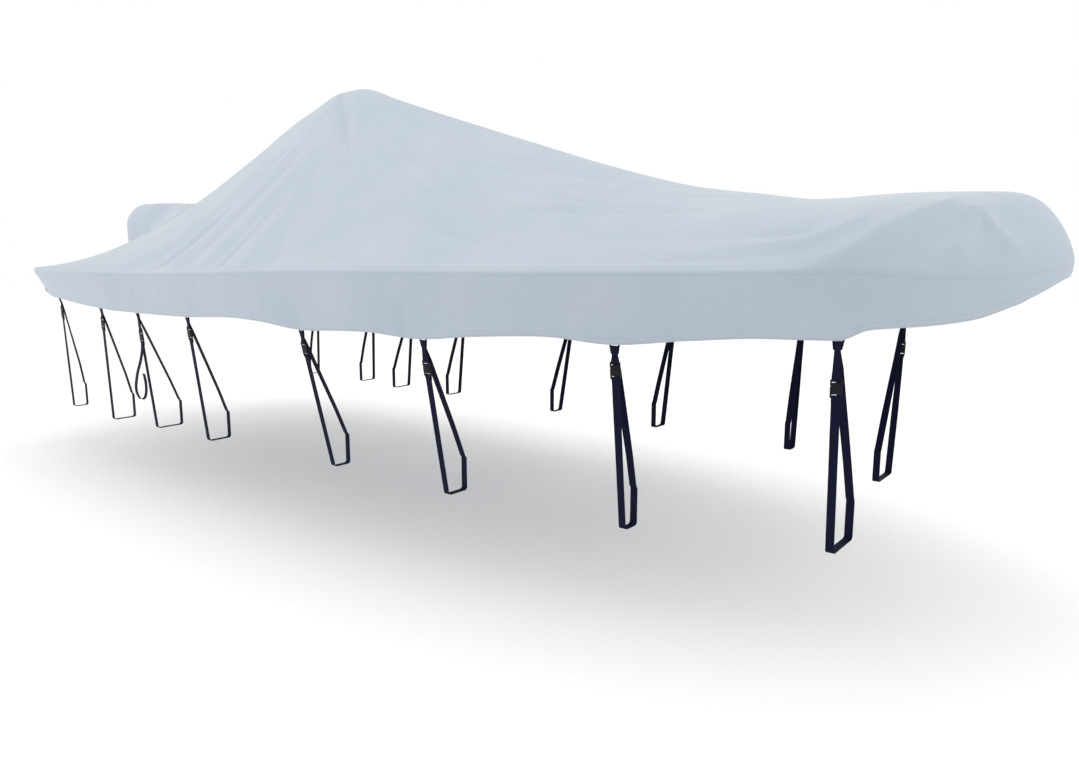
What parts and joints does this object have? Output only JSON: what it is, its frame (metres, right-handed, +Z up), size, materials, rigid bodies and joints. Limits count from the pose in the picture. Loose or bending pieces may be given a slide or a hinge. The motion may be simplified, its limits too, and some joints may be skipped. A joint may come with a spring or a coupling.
{
  "type": "boat cover",
  "caption": "Fitted travel cover for a centre-console boat: a tent of cloth over console and bow, a motor hood, a scalloped skirt and webbing straps with buckles.",
  "frame": {"origin": "underside of the cover's peak, where the console holds the cloth up", "axes": "+X towards the bow along the cover's length, +Y to port, +Z up"},
  "size_m": [6.165, 2.2132, 1.9519],
  "materials": {
    "cover_cloth": "light grey coated polyester, plain weave, matt",
    "webbing": "navy-black woven polypropylene webbing",
    "buckle_plastic": "black moulded acetal, satin"
  },
  "bodies": {
    "root": {"top_panel": "cover_cloth", "skirt_starboard": "cover_cloth", "skirt_port": "cover_cloth", "stern_panel_starboard": "cover_cloth", "stern_panel_port": "cover_cloth", "motor_hood": "cover_cloth", "hem_loop_starboard_1": "webbing", "strap_starboard_1": "webbing", "buckle_starboard_1": "buckle_plastic", "hem_loop_port_1": "webbing", "strap_port_1": "webbing", "buckle_port_1": "buckle_plastic", "hem_loop_starboard_2": "webbing", "strap_starboard_2": "webbing", "buckle_starboard_2": "buckle_plastic", "hem_loop_port_2": "webbing", "strap_port_2": "webbing", "buckle_port_2": "buckle_plastic", "hem_loop_starboard_3": "webbing", "strap_starboard_3": "webbing", "buckle_starboard_3": "buckle_plastic", "hem_loop_port_3": "webbing", "strap_port_3": "webbing", "buckle_port_3": "buckle_plastic", "hem_loop_starboard_4": "webbing", "strap_starboard_4": "webbing", "buckle_starboard_4": "buckle_plastic", "hem_loop_port_4": "webbing", "strap_port_4": "webbing", "buckle_port_4": "buckle_plastic", "hem_loop_starboard_5": "webbing", "strap_starboard_5": "webbing", "buckle_starboard_5": "buckle_plastic", "hem_loop_port_5": "webbing", "strap_port_5": "webbing", "buckle_port_5": "buckle_plastic", "hem_loop_starboard_6": "webbing", "strap_starboard_6": "webbing", "buckle_starboard_6": "buckle_plastic", "hem_loop_port_6": "webbing", "strap_port_6": "webbing", "buckle_port_6": "buckle_plastic", "hem_loop_starboard_7": "webbing", "strap_starboard_7": "webbing", "buckle_starboard_7": "buckle_plastic", "hem_loop_port_7": "webbing", "strap_port_7": "webbing", "buckle_port_7": "buckle_plastic", "hem_loop_starboard_8": "webbing", "strap_starboard_8": "webbing", "buckle_starboard_8": "buckle_plastic", "hem_loop_port_8": "webbing", "strap_port_8": "webbing", "buckle_port_8": "buckle_plastic", "strap_tail": "webbing"}
  },
  "joints": []
}
